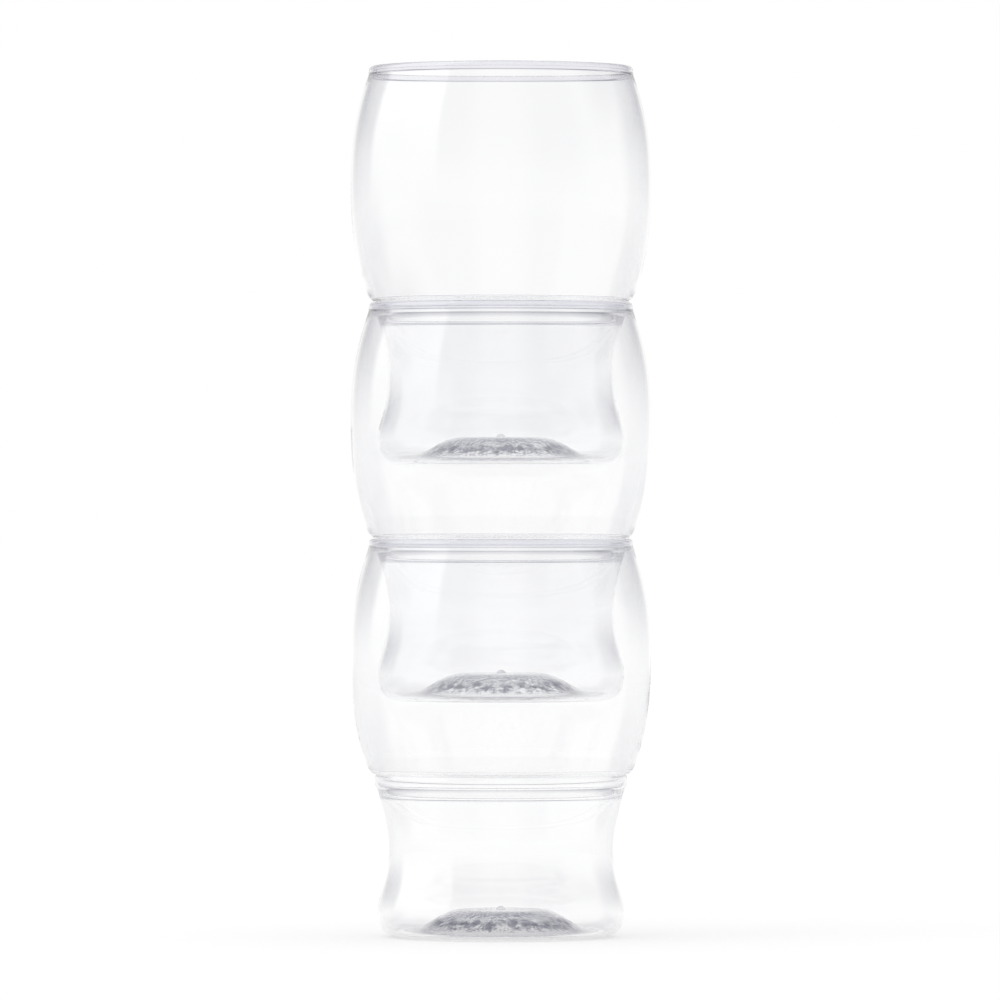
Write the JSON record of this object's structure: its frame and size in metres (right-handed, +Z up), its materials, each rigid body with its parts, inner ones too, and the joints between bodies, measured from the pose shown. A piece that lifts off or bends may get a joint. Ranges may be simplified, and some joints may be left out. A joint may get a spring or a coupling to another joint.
{
  "type": "stack of plastic pint glasses",
  "caption": "Clear plastic pint glasses with a barrel bowl, stacking ledge, waisted lower body and domed base, nested in a stack that lifts apart.",
  "frame": {"origin": "centre of the standing ring of the bottom glass, on the surface that the stack stands on", "axes": "+Z up along the common axis of the glasses; X and Y are free, because every glass is round"},
  "size_m": [0.0856, 0.0856, 0.2477],
  "materials": {
    "clear_plastic": "clear see-through plastic, glossy, with a fine moulded grain on the domed base"
  },
  "bodies": {
    "bottom_glass": {"bottom_glass": "clear_plastic"},
    "middle_glass": {"middle_glass": "clear_plastic"},
    "top_glass": {"top_glass": "clear_plastic"}
  },
  "joints": [
    {"name": "middle_glass_lift", "type": "slide", "parent": "bottom_glass", "child": "middle_glass", "axis": [0, 0, 1], "range_m": [0, 0.06]},
    {"name": "top_glass_lift", "type": "slide", "parent": "middle_glass", "child": "top_glass", "axis": [0, 0, 1], "range_m": [0, 0.06]}
  ]
}
